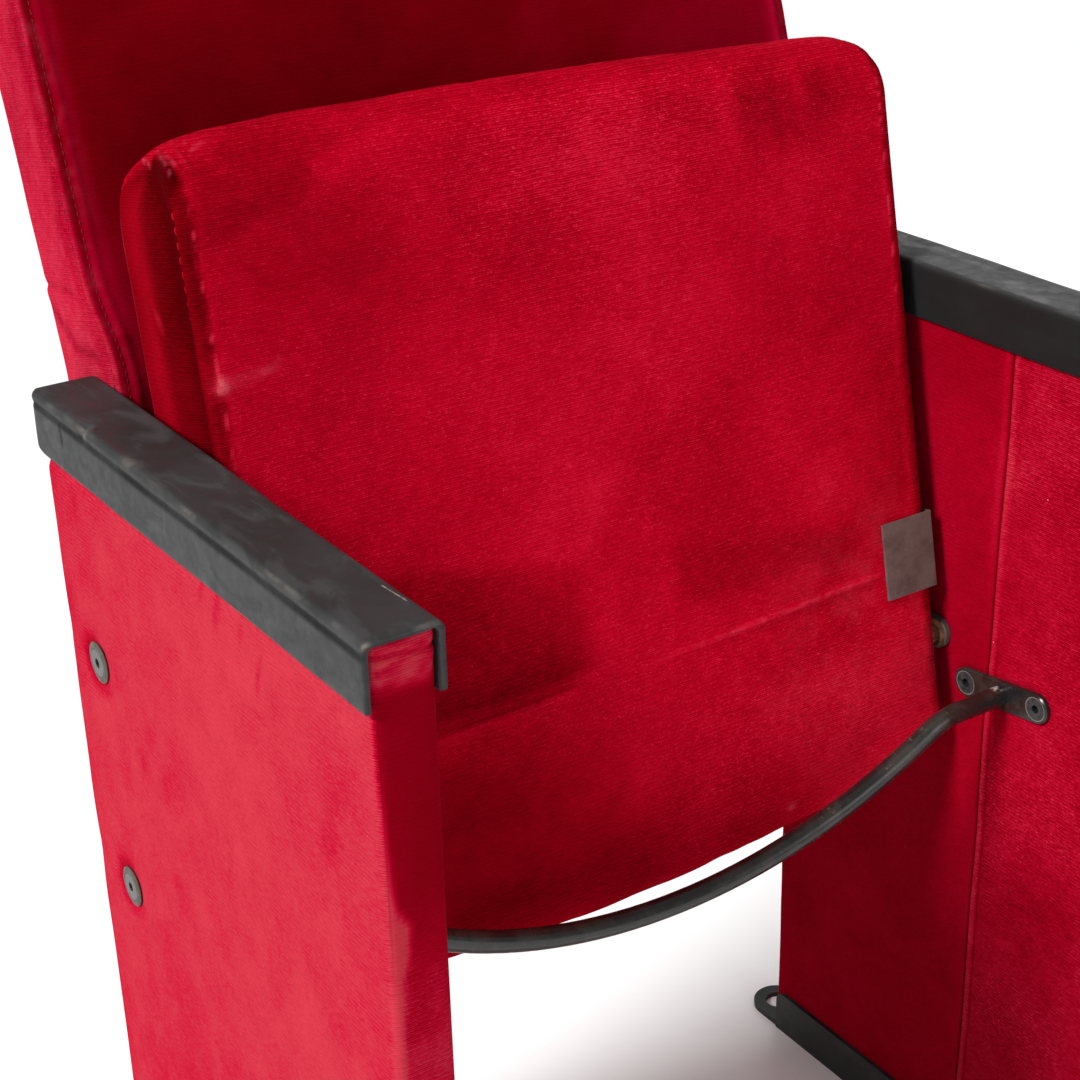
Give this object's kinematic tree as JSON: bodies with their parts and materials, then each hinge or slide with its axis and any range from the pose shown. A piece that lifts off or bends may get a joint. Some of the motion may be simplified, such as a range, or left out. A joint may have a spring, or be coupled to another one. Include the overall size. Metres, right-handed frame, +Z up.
{
  "type": "tip-up auditorium seat",
  "caption": "Fixed auditorium seat: upholstered side panels with capped armrests, padded back, and a sprung seat that tips up and lands on a bowed cross bar.",
  "frame": {"origin": "on the floor, under the middle of the bounding box", "axes": "+Z up, +Y towards the back of the seat, +X towards the sitter's left"},
  "size_m": [0.55, 0.5076, 0.897],
  "materials": {
    "panel_velvet": "ribbed velvet, brushed pile",
    "back_velvet": "ribbed velvet, brushed pile",
    "seat_velvet": "ribbed velvet, brushed pile",
    "foam": "open foam",
    "wood_board": "raw",
    "cap_black": "black coating, satin, worn",
    "shoe_black": "satin black",
    "bar_black": "gloss black, scuffed",
    "dark_steel": "black, dull",
    "rusty_steel": "rusted",
    "nylon": "matt",
    "buffer_rubber": "matt",
    "pad_grey": "matt, worn",
    "spring_steel": "oiled",
    "black_bolt": "blackened",
    "zinc_fastener": "zinc plated"
  },
  "bodies": {
    "frame": {"armrest_cap_left": "cap_black", "armrest_cap_right": "cap_black", "back_board": "wood_board", "back_bolts": "black_bolt", "back_bracket_left": "dark_steel", "back_bracket_right": "dark_steel", "back_foam": "foam", "back_front_cover": "back_velvet", "back_rear_cover": "back_velvet", "bar_bolts": "black_bolt", "bar_nuts": "zinc_fastener", "bar_plate_left": "bar_black", "bar_plate_right": "bar_black", "bracket_screws": "zinc_fastener", "cross_bar": "bar_black", "cup_washers": "black_bolt", "floor_shoe_left": "shoe_black", "floor_shoe_right": "shoe_black", "pivot_bolts": "black_bolt", "pivot_nuts": "zinc_fastener", "pivot_pin_left": "rusty_steel", "pivot_pin_right": "rusty_steel", "pivot_plate_left": "dark_steel", "pivot_plate_right": "dark_steel", "shoe_screws": "zinc_fastener", "side_core_left": "wood_board", "side_core_right": "wood_board", "side_cover_left": "panel_velvet", "side_cover_right": "panel_velvet", "stop_buffer_left": "buffer_rubber", "stop_buffer_right": "buffer_rubber"},
    "seat": {"seat_board": "wood_board", "seat_foam": "foam", "seat_top_cover": "seat_velvet", "seat_under_cover": "seat_velvet", "hinge_bracket_left": "dark_steel", "hinge_bracket_right": "dark_steel", "hinge_bush_left": "nylon", "hinge_bush_right": "nylon", "hinge_screws": "zinc_fastener", "return_spring_left": "spring_steel", "return_spring_right": "spring_steel", "wear_pad_left": "pad_grey", "wear_pad_right": "pad_grey"}
  },
  "joints": [
    {"name": "seat_tip", "type": "hinge", "parent": "frame", "child": "seat", "pos_m": [0, -0.02176, 0.4], "axis": [1, 0, 0], "range_deg": [0, 100.7], "stiffness_Nm_per_rad": 5, "springref_deg": -20.05}
  ]
}
